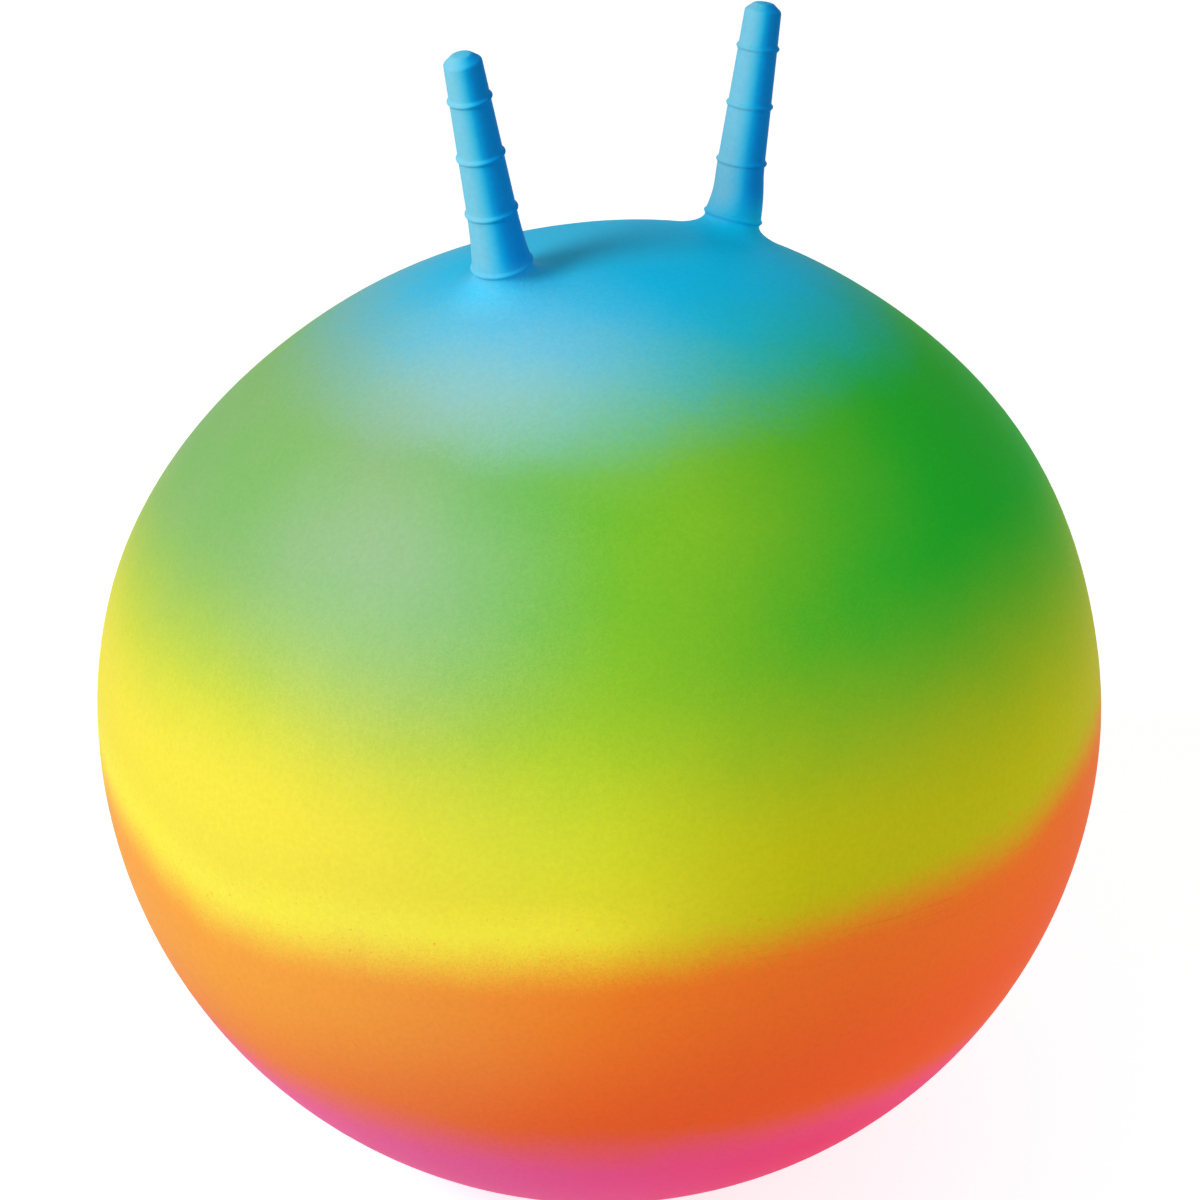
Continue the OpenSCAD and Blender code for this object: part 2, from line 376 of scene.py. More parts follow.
class HopperStageSettings(bpy.types.PropertyGroup):
    """Camera, lamps and floor."""

    distance: length("Camera distance", "Distance from the ball's middle", 1.5)
    turn: angle("Camera turn", "How far the camera stands round to the left", 39.88)
    rise: angle("Camera rise", "How far the camera looks down", 26.38)
    roll: angle("Camera roll", "How far the picture is turned clockwise", 2.64)
    aim_right: length("Aim right", "Aim to the right of the ball's middle", -0.002)
    aim_up: length("Aim up", "Aim above the ball's middle", 0.0496)
    lens: FloatProperty(name="Lens", description="Focal length", default=89.1, subtype="DISTANCE_CAMERA")
    key_turn: angle("Key turn", "How far the key lamp stands to the left of the camera", 50)
    key_rise: angle("Key rise", "How high the key lamp stands", 36)
    key_distance: length("Key distance", "Distance of the key lamp", 1.9)
    key_size: length("Key size", "Width of the key lamp", 0.7)
    key_power: watts("Key power", "Power of the key lamp", 21.5)
    fill_turn: angle("Fill turn", "How far the fill lamp stands to the right of the camera", 62)
    fill_rise: angle("Fill rise", "How high the fill lamp stands", 8)
    fill_drop: length("Fill drop", "How far below the ball's middle the fill lamp is aimed", 0.16)
    fill_cone: angle("Fill cone", "Angle of the fill lamp's beam", 36)
    fill_size: length("Fill size", "Radius of the fill lamp", 0.28)
    fill_power: watts("Fill power", "Power of the fill lamp", 43)
    ambient: amount("Ambient", "Even light from all round", 0.36)
    floor_white: amount("Floor white", "White that the floor shows above its own shade", 0.7)


class BallShape:
    """Outer skin of the ball at rest, worked out from the settings and the frame."""

    def __init__(self, skin, crown_pull):
        self.skin = skin
        self.crown_pull = crown_pull
        self.side_r = skin.ball_r - skin.side_tuck
        self.middle = Vector((0, 0, math.sqrt(skin.ball_r ** 2 - skin.floor_patch ** 2)))
        crown_h = CROWN_TOP - self.middle.z
        over = skin.side_tuck ** 2 + crown_h ** 2 - self.side_r ** 2
        self.crown_r = over / (2 * (crown_h - self.side_r))
        self.crown_centre = Vector((0, 0, CROWN_TOP - self.crown_r))
        turn = math.atan2(skin.side_tuck, self.crown_r - crown_h)
        self.crown_rise = math.atan2(self.side_r * math.cos(turn),
                                     skin.side_tuck + self.side_r * math.sin(turn))
        self.valve = Vector((0, skin.side_tuck, self.middle.z)) + VALVE_AXIS * self.side_r
        self.horns = [Horn(side, self.crown_centre) for side in SIDES]

    def reach(self, rise):
        """Distance of the plain oval from its middle, at an angle above the widest ring."""
        if rise < 0:
            return self.skin.ball_r
        if rise < self.crown_rise:
            tuck = self.skin.side_tuck
            return tuck * math.cos(rise) + math.sqrt(self.side_r ** 2 - (tuck * math.sin(rise)) ** 2)
        drop = self.crown_centre.z - self.middle.z
        return drop * math.sin(rise) + math.sqrt(self.crown_r ** 2 - (drop * math.cos(rise)) ** 2)

    def on_skin(self, direction):
        """Point of the outer skin in a direction from the ball's middle."""
        high = smoothstep(*CROWN_BLEND, direction.z)
        out = self.reach(math.asin(max(-1.0, min(1.0, direction.z))))
        out += self.skin.crown_shift * direction.dot(self.crown_pull) * high
        point = self.middle + direction * out
        if high > 0:
            for horn in self.horns:
                near = horn.away(point) / self.skin.shoulder_reach
                point += direction * self.skin.shoulder_rise * high * math.exp(-near ** 2)
        point.z = (point.z + math.hypot(point.z, self.skin.patch_round)) / 2
        return point

    def toward(self, place):
        """Point of the outer skin on the line from the ball's middle to a place."""
        return self.on_skin((place - self.middle).normalized())


class Horn:
    """Axes of one horn and its neck, from the joints of the frame."""

    def __init__(self, side, crown_centre):
        grip = bpy.context.scene.hopper_horn
        sway = Vector(JOINTS[side + "_neck_sway"]["pos_m"])
        splay = Vector(JOINTS[side + "_handle_splay"]["pos_m"])
        self.side = side
        self.crown_centre = crown_centre
        self.neck_axis = (sway - crown_centre).normalized()
        lean = math.copysign(grip.lean, sway.x)
        straight = Vector((math.sin(lean), 0, math.cos(lean)))
        meeting = intersect_line_line(crown_centre, sway, splay, splay + straight)[0]
        self.root = meeting - self.neck_axis * grip.root_drop
        self.grip_axis = Vector((math.sin(lean - grip.leftward), 0, math.cos(lean - grip.leftward)))
        self.neck_top = (self.root - crown_centre).length

    def away(self, point):
        """Distance of a point from the neck's axis."""
        return self.neck_axis.cross(point - self.crown_centre).length

    def outward(self, point):
        """Direction straight out of the neck's axis to a point."""
        along = point - self.crown_centre
        return (along - self.neck_axis * along.dot(self.neck_axis)).normalized()

    def at(self, outward, radius, height):
        """Point at a radius from the neck's axis and a height up it."""
        return self.crown_centre + self.neck_axis * height + outward * radius


def cut_cap(bm, direction, opening):
    """Cuts a round cap off a unit ball, out to an angle from a direction."""
    everything = bm.verts[:] + bm.edges[:] + bm.faces[:]
    bmesh.ops.bisect_plane(bm, geom=everything, plane_co=direction * math.cos(opening),
                           plane_no=direction, clear_outer=True)


def rim_near(bm, point, radius):
    """Open edges within a radius of a point."""
    return [edge for edge in bm.edges if edge.is_boundary and (edge.verts[0].co - point).length < radius]


def start_ring(bm, axis, columns, place):
    """Ring of edges round an axis, each point put in place by its direction out of that axis."""
    turn = UP.rotation_difference(axis)
    made = bmesh.ops.create_circle(bm, cap_ends=False, segments=columns, radius=1)
    for vert in made["verts"]:
        vert.co = place(turn @ vert.co.normalized())
    return list({edge for vert in made["verts"] for edge in vert.link_edges})


def next_ring(bm, edges, outward, place):
    """Extrudes a ring of edges, and returns the new ring's edges and the faces between."""
    made = bmesh.ops.extrude_edge_only(bm, edges=edges)["geom"]
    verts = {item for item in made if isinstance(item, bmesh.types.BMVert)}
    faces = [item for item in made if isinstance(item, bmesh.types.BMFace)]
    for vert in verts:
        vert.co = place(outward(vert.co))
    ring = [edge for edge in {e for v in verts for e in v.link_edges} if set(edge.verts) <= verts]
    return ring, faces


def draw_neck(bm, shape, horn, skin, grip, piece_layer, piece):
    """Opens the crown and draws the skin up to a horn's root bead."""
    foot_h = horn.neck_top - grip.bead_w
    outer_r = skin.neck_edge + NECK_MARGIN

    def on_crown(outward, radius):
        height = math.sqrt(shape.crown_r ** 2 - radius ** 2)
        return shape.toward(horn.at(outward, radius, height))

    def drawn_up(outward, radius, lift):
        plain = on_crown(outward, radius)
        low = (on_crown(outward, grip.root_r) - horn.crown_centre).dot(horn.neck_axis)
        short = radius - (plain - horn.crown_centre).dot(outward)
        return plain + horn.neck_axis * lift * (foot_h - low) + outward * lift * short

    rim = rim_near(bm, horn.at(Vector(), 0, shape.crown_r), outer_r * NECK_SEARCH)
    ring = start_ring(bm, horn.neck_axis, HORN_COLUMNS, lambda out: on_crown(out, outer_r))
    bmesh.ops.bridge_loops(bm, edges=rim + ring)

    rows = [(skin.neck_edge, 0.0)]
    for step in range(SWEEP_STEPS + 1):
        turn = math.pi / 2 * step / SWEEP_STEPS
        rows.append((skin.sweep_r - (skin.sweep_r - grip.root_r) * math.sin(turn), 1 - math.cos(turn)))
    for number, (radius, lift) in enumerate(rows):
        ring, faces = next_ring(bm, ring, horn.outward, lambda out: drawn_up(out, radius, lift))
        for face in faces:
            face[piece_layer] = piece if number > 0 else 0
    for step in range(1, BEAD_STEPS + 1):
        round_share = step / BEAD_STEPS
        radius = grip.root_r + grip.bead_h * math.sin(math.pi * round_share) ** 2
        height = foot_h + grip.bead_w * round_share
        ring, faces = next_ring(bm, ring, horn.outward, lambda out: horn.at(out, radius, height))
        for face in faces:
            face[piece_layer] = piece


def open_valve(bm, shape, valve):
    """Opens the skin round the valve's boss, with a rolled edge."""
    point = shape.valve
    wide_r = valve.boss_r + VALVE_MARGIN

    def outward(place):
        along = place - point
        return (along - VALVE_AXIS * along.dot(VALVE_AXIS)).normalized()

    rim = rim_near(bm, point, wide_r * VALVE_SEARCH)
    ring = start_ring(bm, VALVE_AXIS, VALVE_COLUMNS, lambda out: shape.toward(point + out * wide_r))
    bmesh.ops.bridge_loops(bm, edges=rim + ring)
    for part in VALVE_RINGS:
        radius = valve.boss_r + (wide_r - valve.boss_r) * part
        ring = next_ring(bm, ring, outward, lambda out: shape.toward(point + out * radius))[0]


def skin_with_necks(shape, skin, grip, valve):
    """One bmesh of the outer skin, with the necks' faces numbered 1 and 2 and the ball's 0."""
    bm = bmesh.new()
    piece_layer = bm.faces.layers.int.new("piece")
    bmesh.ops.create_uvsphere(bm, u_segments=SKIN_COLUMNS, v_segments=SKIN_ROWS, radius=1)
    openings = [(shape.valve, valve.boss_r + VALVE_MARGIN)]
    for horn in shape.horns:
        openings.append((horn.at(Vector(), 0, shape.crown_r), skin.neck_edge + NECK_MARGIN))
    for point, radius in openings:
        away = point - shape.middle
        cut_cap(bm, away.normalized(), math.atan((radius + RIM_MARGIN) / away.length))
    rim = [vert for vert in bm.verts
           if any(edge.other_vert(vert).is_boundary for edge in vert.link_edges)]
    bmesh.ops.remove_doubles(bm, verts=rim, dist=RIM_MERGE)
    for vert in bm.verts:
        vert.co = shape.on_skin(vert.co.normalized())
    for number, horn in enumerate(shape.horns, start=1):
        draw_neck(bm, shape, horn, skin, grip, piece_layer, number)
    open_valve(bm, shape, valve)
    bmesh.ops.triangulate(bm, faces=[face for face in bm.faces if len(face.verts) > 4])
    bmesh.ops.recalc_face_normals(bm, faces=bm.faces[:])
    bm.normal_update()
    return bm


def finish_piece(bm, name, material, wall=0.0):
    """Gives a bmesh its wall and smooth shading, and makes it an object of the scene."""
    normal_layer = bm.verts.layers.float_vector.get("skin_normal")
    outer = set(bm.faces)
    if wall:
        bmesh.ops.solidify(bm, geom=bm.faces[:], thickness=wall)
        for edge in bm.edges:
            edge.smooth = len({face in outer for face in edge.link_faces}) == 1
    for face in bm.faces:
        face.smooth = True
    bm.normal_update()
    normals = []
    if normal_layer is not None:
        for face in bm.faces:
            for loop in face.loops:
                normals.append(loop.vert[normal_layer].to_tuple() if face in outer else (0.0, 0.0, 0.0))
    mesh = bpy.data.meshes.new(name)
    bm.to_mesh(mesh)
    bm.free()
    if normals:
        mesh.normals_split_custom_set(normals)
    mesh.materials.append(material)
    obj = bpy.data.objects.new(name, mesh)
    bpy.context.scene.collection.objects.link(obj)
    return obj


def rounded(before, corner, after, cut):
    """Points of a rounded corner of a profile, which starts and ends cut away from the corner."""
    first = corner + (before - corner).normalized() * cut
    last = corner + (after - corner).normalized() * cut
    points = []
    for step in range(CORNER_STEPS + 1):
        part = step / CORNER_STEPS
        points.append(first.lerp(corner, part).lerp(corner.lerp(last, part), part))
    return points


def rounded_profile(corners, cut):
    """Profile through corners with the inner ones rounded, each a (radius, height) pair."""
    corners = [Vector((radius, 0, height)) for radius, height in corners]
    points = [corners[0]]
    for before, corner, after in zip(corners, corners[1:], corners[2:]):
        room = min((before - corner).length, (after - corner).length) * CORNER_ROOM
        points.extend(rounded(before, corner, after, min(cut, room)))
    return points + [corners[-1]]


def turned(points, columns):
    """Bmesh of a profile spun round the Z axis, with its seam and poles closed."""
    bm = bmesh.new()
    verts = [bm.verts.new(point) for point in points]
    edges = [bm.edges.new(pair) for pair in zip(verts, verts[1:])]
    bmesh.ops.spin(bm, geom=verts + edges, cent=(0, 0, 0), axis=(0, 0, 1),
                   angle=math.tau, steps=columns, use_merge=True)
    bmesh.ops.remove_doubles(bm, verts=bm.verts[:], dist=MERGE_DISTANCE)
    bmesh.ops.recalc_face_normals(bm, faces=bm.faces[:])
    return bm


def shoulder_height(grip):
    """Height of the shoulder of a grip's tip above its root."""
    return grip.first_ring + (grip.ring_count - 1) * grip.ring_pitch + grip.tip_length


def grip_radius(grip, height):
    """Outer radius of a grip at a height above its root, with its beads."""
    taper = (grip.grip_r - grip.tip_r) / (shoulder_height(grip) - grip.first_ring)
    flare = grip.root_r - grip.grip_r - taper * grip.first_ring
    radius = grip.grip_r + taper * (grip.first_ring - height)
    radius += flare * max(0.0, 1 - height / grip.first_ring) ** ROOT_FLARE
    for number in range(grip.ring_count):
        off = (height - grip.first_ring - number * grip.ring_pitch) / grip.bead_w
        if abs(off) < 0.5:
            radius += grip.bead_h * math.cos(math.pi * off) ** 2
    return radius


def grip_profile(grip):
    """Profile of a grip from its root to the middle of its tip."""
    shoulder_h = shoulder_height(grip)
    heights = {shoulder_h * step / GRIP_STEPS for step in range(GRIP_STEPS)}
    for number in range(grip.ring_count):
        ring_h = grip.first_ring + number * grip.ring_pitch
        heights = {h for h in heights if abs(h - ring_h) > grip.bead_w * BEAD_CLEAR}
        heights |= {ring_h + grip.bead_w * (step / BEAD_STEPS - 0.5) for step in range(BEAD_STEPS + 1)}
    side = [Vector((grip_radius(grip, h), 0, h)) for h in sorted(heights)
            if h < shoulder_h - grip.edge_cut]
    top_h = shoulder_h + grip.bevel_h
    corners = [(side[-1].x, side[-1].z), (grip.tip_r, shoulder_h), (grip.top_r, top_h),
               (0.0, top_h + grip.dome_h)]
    return side[:-1] + rounded_profile(corners, grip.edge_cut)


def grip_mesh(horn, grip):
    """Bmesh of one grip, bent at its root to meet the neck."""
    bm = turned(grip_profile(grip), HORN_COLUMNS)
    upright = UP.rotation_difference(horn.grip_axis)
    to_neck = horn.grip_axis.rotation_difference(horn.neck_axis)
    for vert in bm.verts:
        bend = 1 - smoothstep(0, grip.bend_h, vert.co.z)
        turn = Quaternion().slerp(to_neck, bend) @ upright
        vert.co = horn.root + turn @ vert.co
    bmesh.ops.recalc_face_normals(bm, faces=bm.faces[:])
    return bm


class Graph:
    """Short way to add and join the nodes of one material or world."""

    def __init__(self, owner):
        owner.use_nodes = True
        self.owner = owner
        self.tree = owner.node_tree
        self.tree.nodes.clear()

    def add(self, kind, inputs=None, **settings):
        """Adds a node, and sets or joins its inputs."""
        node = self.tree.nodes.new(kind)
        for name, value in settings.items():
            setattr(node, name, value)
        for key, value in (inputs or {}).items():
            if isinstance(value, bpy.types.NodeSocket):
                self.tree.links.new(value, node.inputs[key])
            else:
                node.inputs[key].default_value = value
        return node

    def math(self, operation, first, second=0.0, third=0.0):
        """Output of a Math node."""
        inputs = {0: first, 1: second, 2: third}
        return self.add("ShaderNodeMath", inputs, operation=operation).outputs[0]

    def product(self, first, *others):
        """Output of a product of values, or the first value where it stands alone."""
        for other in others:
            first = self.math("MULTIPLY", first, other)
        return first

    def step(self, value, low, high, to_low=0.0, to_high=1.0):
        """Output of a smooth step of a value."""
        inputs = {"Value": value, "From Min": low, "From Max": high, "To Min": to_low, "To Max": to_high}
        node = self.add("ShaderNodeMapRange", inputs, interpolation_type="SMOOTHSTEP")
        return node.outputs["Result"]

    def dot(self, vector, direction):
        """Output of a dot product with a fixed direction."""
        node = self.add("ShaderNodeVectorMath", {0: vector, 1: direction}, operation="DOT_PRODUCT")
        return node.outputs["Value"]

    def vector(self, operation, first, second):
        """Output of a Vector Math node that gives a vector."""
        return self.add("ShaderNodeVectorMath", {0: first, 1: second}, operation=operation).outputs[0]

    def noise(self, vector, scale, detail, swing=1.0):
        """Output of a noise that swings about zero."""
        inputs = {"Vector": vector, "Scale": scale, "Detail": detail}
        node = self.add("ShaderNodeTexNoise", inputs)
        return self.math("MULTIPLY", self.math("SUBTRACT", node.outputs["Fac"], 0.5), swing)

    def grain(self, vector, scale, detail, strength, depth):
        """Normal of a surface with a fine moulded grain."""
        fine = self.add("ShaderNodeTexNoise", {"Vector": vector, "Scale": scale, "Detail": detail})
        inputs = {"Height": fine.outputs["Fac"], "Strength": strength, "Distance": depth}
        return self.add("ShaderNodeBump", inputs).outputs["Normal"]

    def surface(self, inputs):
        """Joins a shader to the material's output."""
        shader = self.add("ShaderNodeBsdfPrincipled", inputs)
        self.add("ShaderNodeOutputMaterial", {"Surface": shader.outputs["BSDF"]})


def colour(value):
    """Colour of four parts for a socket."""
    return (*value, 1.0)


def mix_colours(graph, cover, below, above):
    """Colour of a coat sprayed over what lies below it."""
    inputs = {MIX_COVER: cover, MIX_BELOW: below, MIX_ABOVE: above}
    return graph.add("ShaderNodeMix", inputs, data_type="RGBA").outputs[MIX_RESULT]


class Spray:
    """Coats sprayed one over another on the skin, with painted shade and painted highlights among them,
    as nodes of its material.
    """

    def __init__(self, graph, shape, coats):
        self.graph = graph
        self.shape = shape
        self.coats = coats
        source = graph.add("ShaderNodeTexCoord")
        self.place = source.outputs["Object"]
        centred = graph.vector("SUBTRACT", self.place, shape.middle)
        self.up = graph.dot(centred, SPRAY_AXIS)
        self.across = graph.dot(centred, THICK_AND_SHADED_SIDE)
        # How squarely the surface faces the shaded side, for the painted shade and highlight on the
        # horns
        self.shaded_side_facing = graph.dot(source.outputs["Normal"], THICK_AND_SHADED_SIDE)
        drift = graph.noise(self.place, *DRIFT)
        cloud = graph.noise(self.place, *CLOUD)
        speckle = graph.noise(self.place, *SPECKLE)
        self.wobble = graph.math("ADD", graph.math("ADD", drift, cloud), speckle)
        self.height = graph.math("ADD", self.up, self.wobble)
        self.sideways = graph.math("ADD", self.across, graph.noise(self.place, *SIDE_DRIFT))
        lift = graph.step(self.across, *LIFT_SIDE, 0.0, coats.orange_lift)
        self.orange_level = graph.math("SUBTRACT", self.tilted(-coats.orange_tilt), lift)
        self.tint = colour(coats.yellow)

    def tilted(self, slope):
        """Height up the spray's axis that leans across the ball."""
        return self.graph.math("MULTIPLY_ADD", self.across, slope, self.height)

    def past(self, level, edge, soft):
        """Cover past a soft edge: above it, or below it where the softness is under zero."""
        return self.graph.step(level, edge - soft, edge + soft)

    def side(self, ends, most, least=0.0):
        """Cover that grows from its least to its most across the ball."""
        return self.graph.step(self.sideways, *ends, least, most)

    def patch(self, direction, reach, cover):
        """Cover of a ragged round patch in a direction from the ball's middle."""
        graph = self.graph
        spot = self.shape.middle + direction.normalized() * self.shape.skin.ball_r
        away = graph.add("ShaderNodeVectorMath", {0: self.place, 1: spot}, operation="DISTANCE")
        ragged = graph.math("MULTIPLY_ADD", self.wobble, PATCH_RAG, away.outputs["Value"])
        return graph.math("MULTIPLY", graph.step(ragged, reach, 0.0), cover)

    def coat(self, over, *covers):
        """Sprays a coat over the others, with the product of its covers."""
        cover = self.graph.product(*covers)
        self.tint = mix_colours(self.graph, cover, self.tint, colour(over))

    def upper_coats(self):
        """Lime mist, olive that is partly painted shade, and bright yellow over the yellow, then green
        and blue.
        """
        coats = self.coats
        self.coat(coats.lime, self.past(self.height, coats.mist_edge, coats.mist_soft),
                  self.side(MIST_SIDE, coats.mist_cover))
        # Olive, darker towards the shaded side: partly painted shade
        self.coat(coats.olive, self.side(OLIVE_SIDE, coats.olive_cover))
        self.coat(coats.bright, self.past(self.orange_level, coats.bright_edge, -coats.bright_soft),
                  self.side(BRIGHT_SIDE, coats.bright_cover))
        thin = self.graph.math("ADD", self.patch(THIN_SPOT, coats.thin_reach, coats.thin_cover),
                               self.patch(HIGH_SPOT, coats.high_reach, coats.high_cover))
        green_level = self.tilted(coats.green_tilt)
        self.coat(coats.green, self.past(green_level, coats.green_edge, coats.green_soft),
                  self.graph.math("SUBTRACT", self.side(GREEN_SIDE, 1.0, coats.left_green), thin))
        self.coat(coats.blue, self.past(self.height, coats.blue_edge, coats.blue_soft))

    def horn_shade_and_highlight(self):
        """Painted shade in deep blue on the sides of the horns away from the key lamp, and a painted
        highlight in light blue on their lit sides.
        """
        graph, coats = self.graph, self.coats
        on_horns = graph.step(self.up, *HORN_FOOT)
        # Painted shade on the horns' shaded sides
        self.coat(coats.deep, on_horns, graph.step(self.shaded_side_facing, *HORN_SHADE_FACING, 0.0, coats.horn_shade_cover))
        # Painted highlight on the horns' lit sides
        self.coat(coats.light, on_horns, graph.step(self.shaded_side_facing, *HORN_LIT_FACING, 0.0, coats.light_cover))

    def lower_coats(self):
        """Orange with its stray drops, vermilion, pink and rose."""
        graph, coats = self.graph, self.coats
        thin = self.side(ORANGE_SIDE, 1.0, coats.thin_orange)
        self.coat(coats.orange,
                  self.past(self.orange_level, coats.orange_edge, -coats.orange_soft), thin)
        drops = graph.step(graph.noise(self.place, *DROPS), *DROP_RIM)
        drops_top = coats.orange_edge + coats.orange_soft
        near = graph.step(self.orange_level, drops_top + DROPS_ABOVE, drops_top - DROPS_BELOW)
        self.coat(coats.orange, drops, near, coats.drops_cover)
        vermilion_level = self.tilted(-coats.vermilion_tilt)
        self.coat(coats.vermilion,
                  self.past(vermilion_level, coats.vermilion_edge, -coats.vermilion_soft), thin)
        foot = self.past(self.tilted(coats.pink_tilt), coats.pink_edge, -coats.pink_soft)
        self.coat(coats.pink, foot)
        self.coat(coats.rose, foot, self.side(ROSE_SIDE, 1.0))

    def painted_sheen(self):
        """Painted sheen on the lit side, and painted highlights in a spot on the green and along the
        edge of the blue.
        """
        graph, coats = self.graph, self.coats
        foot = graph.step(self.height, *PAINTED_SHEEN_FOOT, coats.pale_low, 1.0)
        top = graph.step(self.height, *PAINTED_SHEEN_TOP)
        mottle = graph.math("ADD", 1.0, graph.noise(self.place, *MOTTLE))
        # Painted sheen on the lit side of the green and yellow
        self.coat(coats.pale, self.side(PAINTED_SHEEN_SIDE, coats.pale_cover), foot, top, mottle)
        # Painted highlights in a spot on the green and along the edge of the blue
        glow = self.patch(SHEEN_SPOT, coats.sheen_spot_reach, coats.sheen_spot_cover)
        painted_highlight = graph.product(self.patch(HIGHLIGHT_SPOT, coats.painted_highlight_reach, coats.painted_highlight_cover),
                             graph.step(self.height, *HIGHLIGHT_FOOT), graph.step(self.up, *HORN_FOOT[::-1]))
        self.coat(coats.painted_highlight, graph.math("MAXIMUM", glow, painted_highlight))

    def scuffs(self):
        """Faint scuffs on the thickly sprayed side, along the orange edge and above the foot."""
        graph = self.graph
        squeezed = graph.vector("MULTIPLY", self.place, SCUFF_SQUEEZE)
        sharp = graph.step(graph.noise(squeezed, *STREAKS), *SCUFF_RIM)
        bands = graph.math("MAXIMUM", graph.step(self.up, *UPPER_SCUFFS),
                           graph.step(self.up, *LOWER_SCUFFS))
        side = graph.step(self.across, *SCUFF_SIDE, 0.0, self.coats.scuff_cover)
        self.coat(self.coats.scuff, sharp, graph.step(self.up, *SCUFF_FOOT),
                  graph.step(self.up, *SCUFF_TOP), bands, side)


def sprayed_skin(shape):
    """Satin soft plastic, sprayed in bands that run into each other, with painted shade and painted
    highlights among them.
    """
    coats = bpy.context.scene.hopper_paint
    graph = Graph(bpy.data.materials.new("sprayed_skin"))
    spray = Spray(graph, shape, coats)
    spray.upper_coats()
    spray.horn_shade_and_highlight()
    spray.lower_coats()
    spray.painted_sheen()
    spray.scuffs()
    shade = graph.math("ADD", 1.0, graph.noise(spray.place, *STIPPLE, 2 * coats.stipple))
    tint = graph.add("ShaderNodeVectorMath", {0: spray.tint, 3: shade}, operation="SCALE").outputs[0]
    graph.surface({
        "Base Color": tint,
        "Roughness": graph.math("ADD", coats.roughness, graph.noise(spray.place, *SHEEN)),
        "Specular IOR Level": coats.shine,
        "Normal": graph.grain(spray.place, *SKIN_GRAIN),
    })
    return graph.owner


def plug_plastic():
    """Pale soft plastic of the plug, with a fine moulded grain."""
    coats = bpy.context.scene.hopper_paint
    graph = Graph(bpy.data.materials.new("plug_plastic"))
    place = graph.add("ShaderNodeTexCoord").outputs["Object"]
    cloud = graph.math("ADD", 0.5, graph.noise(place, *PLUG_CLOUD))
    shade = tuple(part * PLUG_SHADE for part in coats.plug)
    graph.surface({
        "Base Color": mix_colours(graph, cloud, colour(shade), colour(coats.plug)),
        "Roughness": graph.math("ADD", coats.plug_roughness, graph.noise(place, *PLUG_SHEEN)),
        "Normal": graph.grain(place, *PLUG_GRAIN),
    })
    return graph.owner


def outlook(turn, rise):
    """Direction from the ball, turned to the right of its front and raised above level."""
    return Vector((math.sin(turn) * math.cos(rise), -math.cos(turn) * math.cos(rise), math.sin(rise)))


def camera_place(stage, middle):
    """Place of the camera, turned so that the picture lies as the photograph does."""
    back = outlook(-stage.turn, stage.rise)
    right = UP.cross(back).normalized()
    eye = middle + back * stage.distance
    target = middle + right * stage.aim_right + back.cross(right) * stage.aim_up
    look = (eye - target).normalized()
    level = UP.cross(look).normalized()
    side = Quaternion(look, stage.roll) @ level
    return Matrix.Translation(eye) @ Matrix((side, look.cross(side), look)).transposed().to_4x4()


def ball_shape():
    """Shape of the ball, whose crown settles to the right of the camera's view."""
    scene = bpy.context.scene
    pull = Vector((math.cos(scene.hopper_stage.turn), -math.sin(scene.hopper_stage.turn), 0))
    return BallShape(scene.hopper_skin, pull)


def skin_material(shape):
    """The sprayed skin, made once."""
    return bpy.data.materials.get("sprayed_skin") or sprayed_skin(shape)


class HOPPER_OT_skin(bpy.types.Operator):
    """Build the inflated skin and the two necks that are drawn up from it."""

    bl_idname = "hopper.skin"
    bl_label = "Inflated Skin and Necks"

    def execute(self, context):
        scene = context.scene
        skin, grip = scene.hopper_skin, scene.hopper_horn
        shape = ball_shape()
        material = skin_material(shape)
        whole = skin_with_necks(shape, skin, grip, scene.hopper_valve)
        normal_layer = whole.verts.layers.float_vector.new("skin_normal")
        for vert in whole.verts:
            vert[normal_layer] = vert.normal
        for number, name in enumerate(("ball", "left_neck_skin", "right_neck_skin")):
            bm = whole.copy()
            piece_layer = bm.faces.layers.int.get("piece")
            others = [face for face in bm.faces if face[piece_layer] != number]
            bmesh.ops.delete(bm, geom=others, context="FACES")
            piece = finish_piece(bm, name, material, skin.wall if number == 0 else grip.wall)
            if number == 0:
                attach(piece, "ball")
                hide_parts("ball_skin")
            else:
                horn = shape.horns[number - 1]
                body = horn.side + "_neck"
                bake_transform(piece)
                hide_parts(body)
        whole.free()
        return {"FINISHED"}


class HOPPER_OT_horns(bpy.types.Operator):
    """Build the two ribbed horns."""

    bl_idname = "hopper.horns"
    bl_label = "Ribbed Horns"

    def execute(self, context):
        grip = context.scene.hopper_horn
        shape = ball_shape()
        material = skin_material(shape)
        for horn in shape.horns:
            piece = finish_piece(grip_mesh(horn, grip), horn.side + "_horn", material, grip.wall)
            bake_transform(piece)
            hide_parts(horn.side + "_handle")
        return {"FINISHED"}


